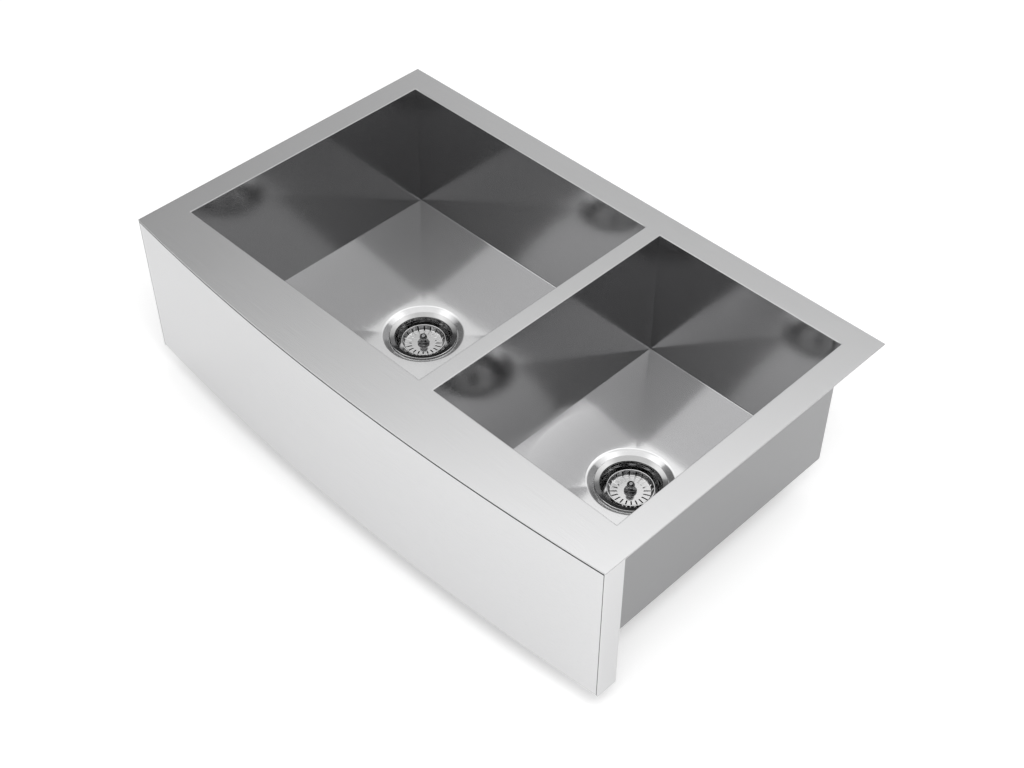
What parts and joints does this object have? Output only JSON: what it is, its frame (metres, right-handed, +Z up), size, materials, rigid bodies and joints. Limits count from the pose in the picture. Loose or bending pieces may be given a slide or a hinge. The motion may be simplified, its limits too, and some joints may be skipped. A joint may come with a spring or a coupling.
{
  "type": "farmhouse kitchen sink",
  "caption": "Apron-front kitchen sink in sheet steel with a flat deck, a bowed front, square-cornered bowls and lift-out basket strainers.",
  "frame": {"origin": "on the deck's top face, on the sink's centreline and in the middle of the back rim", "axes": "+X to the right along the sink's width, +Y to the back, +Z up out of the deck"},
  "size_m": [0.914, 0.571, 0.2843],
  "materials": {
    "satin_steel": "satin brushed",
    "bright_steel": "polished",
    "knob_chrome": "polished",
    "pad_rubber": "matt",
    "washer_rubber": "satin",
    "fibre": "matt fibre"
  },
  "bodies": {
    "sink": {"deck": "satin_steel", "apron_front": "satin_steel", "apron_left_return": "satin_steel", "apron_right_return": "satin_steel", "left_bowl_wrapper": "satin_steel", "left_bowl_left_wall": "satin_steel", "left_bowl_right_wall": "satin_steel", "right_bowl_wrapper": "satin_steel", "right_bowl_left_wall": "satin_steel", "right_bowl_right_wall": "satin_steel", "left_sound_pad": "pad_rubber", "left_strainer_body": "bright_steel", "left_strainer_crossbar": "bright_steel", "left_flange_gasket": "washer_rubber", "left_rubber_washer": "washer_rubber", "left_friction_ring": "fibre", "left_locknut": "bright_steel", "right_sound_pad": "pad_rubber", "right_strainer_body": "bright_steel", "right_strainer_crossbar": "bright_steel", "right_flange_gasket": "washer_rubber", "right_rubber_washer": "washer_rubber", "right_friction_ring": "fibre", "right_locknut": "bright_steel"},
    "left_plug": {"left_knob": "knob_chrome", "left_post": "knob_chrome", "left_post_washer": "bright_steel", "left_stopper": "washer_rubber", "left_post_nut": "bright_steel"},
    "left_dish": {"left_basket": "bright_steel"},
    "right_plug": {"right_knob": "knob_chrome", "right_post": "knob_chrome", "right_post_washer": "bright_steel", "right_stopper": "washer_rubber", "right_post_nut": "bright_steel"},
    "right_dish": {"right_basket": "bright_steel"}
  },
  "joints": [
    {"name": "left_plug_lift", "type": "slide", "parent": "sink", "child": "left_plug", "axis": [0, 0, 1], "range_m": [0, 0.28]},
    {"name": "left_basket_turn", "type": "hinge", "parent": "left_plug", "child": "left_dish", "pos_m": [-0.173, -0.241, -0.2444], "axis": [0, 0, 1], "continuous": true},
    {"name": "right_plug_lift", "type": "slide", "parent": "sink", "child": "right_plug", "axis": [0, 0, 1], "range_m": [0, 0.28]},
    {"name": "right_basket_turn", "type": "hinge", "parent": "right_plug", "child": "right_dish", "pos_m": [0.257, -0.241, -0.2444], "axis": [0, 0, 1], "continuous": true}
  ]
}
